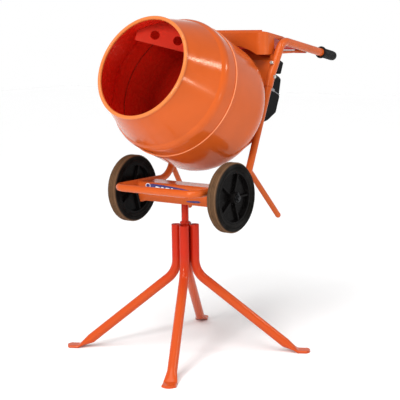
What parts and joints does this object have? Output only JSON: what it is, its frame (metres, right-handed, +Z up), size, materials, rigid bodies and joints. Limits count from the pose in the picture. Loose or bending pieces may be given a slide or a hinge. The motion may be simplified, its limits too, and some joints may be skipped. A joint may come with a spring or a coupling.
{
  "type": "concrete mixer",
  "caption": "Tip-up barrow concrete mixer: a tilted drum on a wheeled tube frame with handles, hooded motor and belt drive, carried by a swivel head on a splayed-leg stand.",
  "frame": {"origin": "on the floor, on the upright axis of the stand's swivel post", "axes": "+Z up; the drum's mouth faces -Y and the handles point to +Y; +X is the side with the switch box"},
  "size_m": [0.9642, 1.3986, 1.4768],
  "materials": {
    "orange_paint": "glossy",
    "stand_paint": "glossy",
    "drum_paint": "glossy",
    "paddle_paint": "glossy",
    "zinc": "bright zinc",
    "steel": "machined",
    "bearing_steel": "polished",
    "cast_alloy": "as cast",
    "gear_steel": "oiled",
    "motor_paint": "satin",
    "guard_plastic": "moulded",
    "hub_plastic": "moulded",
    "clip_plastic": "moulded",
    "tyre_rubber": "solid rubber",
    "grip_rubber": "ribbed",
    "belt_rubber": "ribbed",
    "green_plastic": "gloss",
    "red_plastic": "gloss"
  },
  "bodies": {
    "stand": {"stand_socket": "stand_paint", "stand_leg_1": "stand_paint", "stand_leg_2": "stand_paint", "stand_leg_3": "stand_paint", "stand_leg_4": "stand_paint"},
    "swivel": {"swivel_post": "stand_paint", "swivel_head": "stand_paint"},
    "machine": {"axle": "zinc", "axle_hanger_left": "orange_paint", "axle_hanger_right": "orange_paint", "belt_guard_lower": "guard_plastic", "belt_guard_upper": "guard_plastic", "cable_gland": "guard_plastic", "cross_channel": "orange_paint", "drive_belt": "belt_rubber", "frame_bolts": "zinc", "front_crossbar": "orange_paint", "gearbox_bearings": "bearing_steel", "gearbox_bolts": "zinc", "gearbox_case": "cast_alloy", "gearbox_cover": "cast_alloy", "guard_clips": "clip_plastic", "handle_brackets": "orange_paint", "handle_grip_left": "grip_rubber", "handle_grip_right": "grip_rubber", "handle_tube_left": "orange_paint", "handle_tube_right": "orange_paint", "hood_hinge_rod": "zinc", "motor_end_bells": "motor_paint", "motor_housing": "motor_paint", "mounting_plate": "orange_paint", "parking_leg_left": "orange_paint", "parking_leg_right": "orange_paint", "pivot_pin": "zinc", "side_tube_left": "orange_paint", "side_tube_right": "orange_paint", "switch_box": "guard_plastic", "washers_and_split_pins": "zinc"},
    "drum": {"drum_front_shell": "drum_paint", "drum_rear_bowl": "drum_paint", "mixing_paddle_1": "paddle_paint", "mixing_paddle_2": "paddle_paint", "drum_base_disc": "paddle_paint", "drum_hub": "cast_alloy", "drum_hub_bolts": "zinc", "output_shaft": "steel", "output_gear": "gear_steel"},
    "layshaft": {"layshaft": "gear_steel", "layshaft_gear": "gear_steel"},
    "input": {"input_shaft": "gear_steel", "driven_pulley": "steel"},
    "rotor": {"motor_rotor": "motor_paint", "motor_pulley": "steel"},
    "wheel_left": {"wheel_tyre_left": "tyre_rubber", "wheel_hub_left": "hub_plastic"},
    "wheel_right": {"wheel_tyre_right": "tyre_rubber", "wheel_hub_right": "hub_plastic"},
    "hood": {"hood": "orange_paint"},
    "start_button": {"start_button": "green_plastic"},
    "stop_button": {"stop_button": "red_plastic"}
  },
  "joints": [
    {"name": "stand_swivel", "type": "hinge", "parent": "stand", "child": "swivel", "pos_m": [0, 0, 0.5], "axis": [0, 0, 1], "continuous": true},
    {"name": "tip", "type": "hinge", "parent": "swivel", "child": "machine", "pos_m": [0, 0, 0.6852], "axis": [1, 0, 0], "range_deg": [0, 57]},
    {"name": "drum_spin", "type": "hinge", "parent": "machine", "child": "drum", "pos_m": [0, 0.283, 1.02], "axis": [0, -0.9135, 0.4067], "continuous": true},
    {"name": "layshaft_spin", "type": "hinge", "parent": "machine", "child": "layshaft", "pos_m": [-0.08429, 0.29899, 1.05591], "axis": [0, -0.9135, 0.4067], "continuous": true},
    {"name": "input_spin", "type": "hinge", "parent": "machine", "child": "input", "pos_m": [-0.06035, 0.32574, 1.116], "axis": [0, -0.9135, 0.4067], "continuous": true},
    {"name": "motor_spin", "type": "hinge", "parent": "machine", "child": "rotor", "pos_m": [0, 0.35825, 1.18901], "axis": [0, -0.9135, 0.4067], "continuous": true},
    {"name": "wheel_left_spin", "type": "hinge", "parent": "machine", "child": "wheel_left", "pos_m": [-0.2714, -0.0302, 0.715], "axis": [1, 0, 0], "continuous": true},
    {"name": "wheel_right_spin", "type": "hinge", "parent": "machine", "child": "wheel_right", "pos_m": [0.2714, -0.0302, 0.715], "axis": [1, 0, 0], "continuous": true},
    {"name": "hood_lift", "type": "hinge", "parent": "machine", "child": "hood", "pos_m": [0, 0.77, 1.301], "axis": [-1, 0, 0], "range_deg": [0, 70]},
    {"name": "start_press", "type": "slide", "parent": "machine", "child": "start_button", "axis": [0, -0.9135, 0.4067], "range_m": [0, 0.003], "stiffness_N_per_m": 400},
    {"name": "stop_press", "type": "slide", "parent": "machine", "child": "stop_button", "axis": [0, -0.9135, 0.4067], "range_m": [0, 0.003], "stiffness_N_per_m": 400}
  ],
  "couplings": [
    {"joint": "layshaft_spin", "follows": "drum_spin", "ratio": -3.7692},
    {"joint": "input_spin", "follows": "drum_spin", "ratio": 15.077},
    {"joint": "motor_spin", "follows": "drum_spin", "ratio": 50.256}
  ]
}
